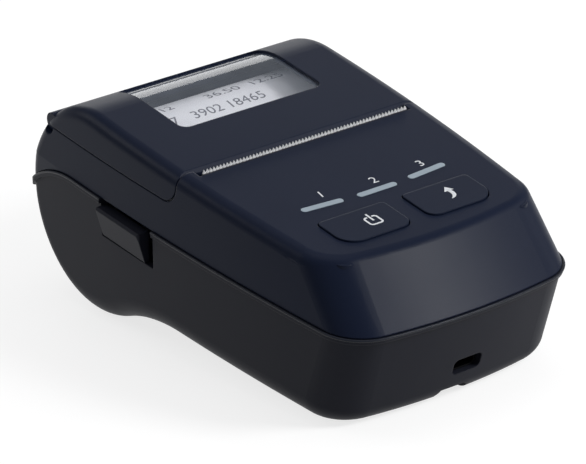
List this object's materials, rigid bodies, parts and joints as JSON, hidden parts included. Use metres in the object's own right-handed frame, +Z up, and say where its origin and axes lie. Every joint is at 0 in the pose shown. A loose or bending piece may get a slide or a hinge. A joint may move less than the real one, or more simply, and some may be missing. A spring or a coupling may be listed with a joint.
{
  "type": "portable thermal receipt printer",
  "caption": "Battery receipt printer for till rolls: two-part case with a drum-shaped rear, hinged paper cover with window, tear bar, panel keys and side release levers.",
  "frame": {"origin": "middle of the standing machine's box, on the floor", "axes": "+X to the right as seen from the front, +Y from the front (inlet) to the rear drum, +Z up; the machine stands tilted on its drum and the edge under its nose"},
  "size_m": [0.079, 0.1324, 0.0538],
  "materials": {
    "case_navy": "fine satin",
    "case_charcoal": "fine matt",
    "key_plastic": "satin",
    "lens_plastic": "diffusing",
    "window_clear": "clear plastic",
    "steel": "bright",
    "screw_steel": "zinc",
    "motor_metal": "plated",
    "rubber": "ground",
    "brass": "turned",
    "gear_plastic": "natural",
    "frame_plastic": "moulded",
    "bin_plastic": "moulded",
    "head_ceramic": "fired",
    "aluminium": "milled",
    "chip_black": "moulded",
    "paper": "smooth",
    "cardboard": "wound",
    "board_green": "solder mask",
    "connector": "moulded",
    "ribbon": "film",
    "battery_wrap": "wrapped"
  },
  "bodies": {
    "base": {"lower_case": "case_charcoal", "upper_case": "case_navy", "hinge_pin": "steel", "tear_bar": "steel", "indicator_lenses": "lens_plastic", "key_board": "board_green", "tact_switches": "chip_black", "indicator_leds": "connector", "mechanism_frame": "frame_plastic", "thermal_head": "head_ceramic", "heat_sink": "aluminium", "head_spring": "steel", "stepper_motor": "motor_metal", "idler_post": "steel", "paper_sensor": "chip_black", "paper_bin": "bin_plastic", "paper_web": "paper", "main_board": "board_green", "wireless_module": "steel", "board_connectors": "connector", "head_ribbon": "ribbon", "usb_socket": "steel", "charge_board": "board_green", "battery_pack": "battery_wrap", "battery_contacts": "brass", "lever_pins": "steel", "case_screws": "screw_steel", "main_board_screws": "screw_steel", "charge_board_screws": "screw_steel", "key_board_screws": "screw_steel", "mechanism_screws": "screw_steel"},
    "cover": {"paper_cover": "case_navy", "cover_window": "window_clear", "platen_bracket": "steel", "platen_bushings": "brass", "bracket_screws": "screw_steel"},
    "platen": {"platen_shaft": "steel", "platen_rubber": "rubber", "platen_gear": "gear_plastic"},
    "idler": {"idler_gear": "gear_plastic"},
    "rotor": {"motor_shaft": "steel", "motor_pinion": "brass"},
    "roll": {"paper_roll": "paper", "roll_core": "cardboard"},
    "power_key": {"power_key": "key_plastic"},
    "feed_key": {"feed_key": "key_plastic"},
    "lever_left": {"release_lever_left": "case_charcoal"},
    "lever_right": {"release_lever_right": "case_charcoal"},
    "battery_door": {"battery_door": "case_charcoal"}
  },
  "joints": [
    {"name": "cover_hinge", "type": "hinge", "parent": "base", "child": "cover", "pos_m": [0, 0.05586, 0.04623], "axis": [-1, 0, 0], "range_deg": [0, 95]},
    {"name": "roll_spin", "type": "hinge", "parent": "base", "child": "roll", "pos_m": [0, 0.03941, 0.0259], "axis": [1, 0, 0], "continuous": true},
    {"name": "platen_spin", "type": "hinge", "parent": "cover", "child": "platen", "pos_m": [0, 0.00655, 0.03948], "axis": [1, 0, 0], "continuous": true},
    {"name": "idler_spin", "type": "hinge", "parent": "base", "child": "idler", "pos_m": [0, 0.008, 0.02832], "axis": [1, 0, 0], "continuous": true},
    {"name": "motor_spin", "type": "hinge", "parent": "base", "child": "rotor", "pos_m": [0, 0.00341, 0.02074], "axis": [1, 0, 0], "continuous": true},
    {"name": "power_press", "type": "slide", "parent": "base", "child": "power_key", "axis": [0, 0.0936, -0.9956], "range_m": [0, 0.0005], "stiffness_N_per_m": 500, "springref_m": -0.0006},
    {"name": "feed_press", "type": "slide", "parent": "base", "child": "feed_key", "axis": [0, 0.0936, -0.9956], "range_m": [0, 0.0005], "stiffness_N_per_m": 500, "springref_m": -0.0006},
    {"name": "lever_left_press", "type": "hinge", "parent": "base", "child": "lever_left", "pos_m": [-0.0342, 0.03001, 0.02813], "axis": [0, -0.0936, 0.9956], "range_deg": [0, 4.5], "stiffness_Nm_per_rad": 0.2, "springref_deg": -3.44},
    {"name": "lever_right_press", "type": "hinge", "parent": "base", "child": "lever_right", "pos_m": [0.0342, 0.03001, 0.02813], "axis": [0, 0.0936, -0.9956], "range_deg": [0, 4.5], "stiffness_Nm_per_rad": 0.2, "springref_deg": -3.44},
    {"name": "battery_door_hinge", "type": "hinge", "parent": "base", "child": "battery_door", "pos_m": [0, -0.01049, 0.00383], "axis": [1, 0, 0], "range_deg": [0, 50]}
  ],
  "couplings": [
    {"joint": "platen_spin", "follows": "roll_spin", "ratio": -4.26},
    {"joint": "idler_spin", "follows": "roll_spin", "ratio": 3.195},
    {"joint": "motor_spin", "follows": "roll_spin", "ratio": -8.52}
  ]
}
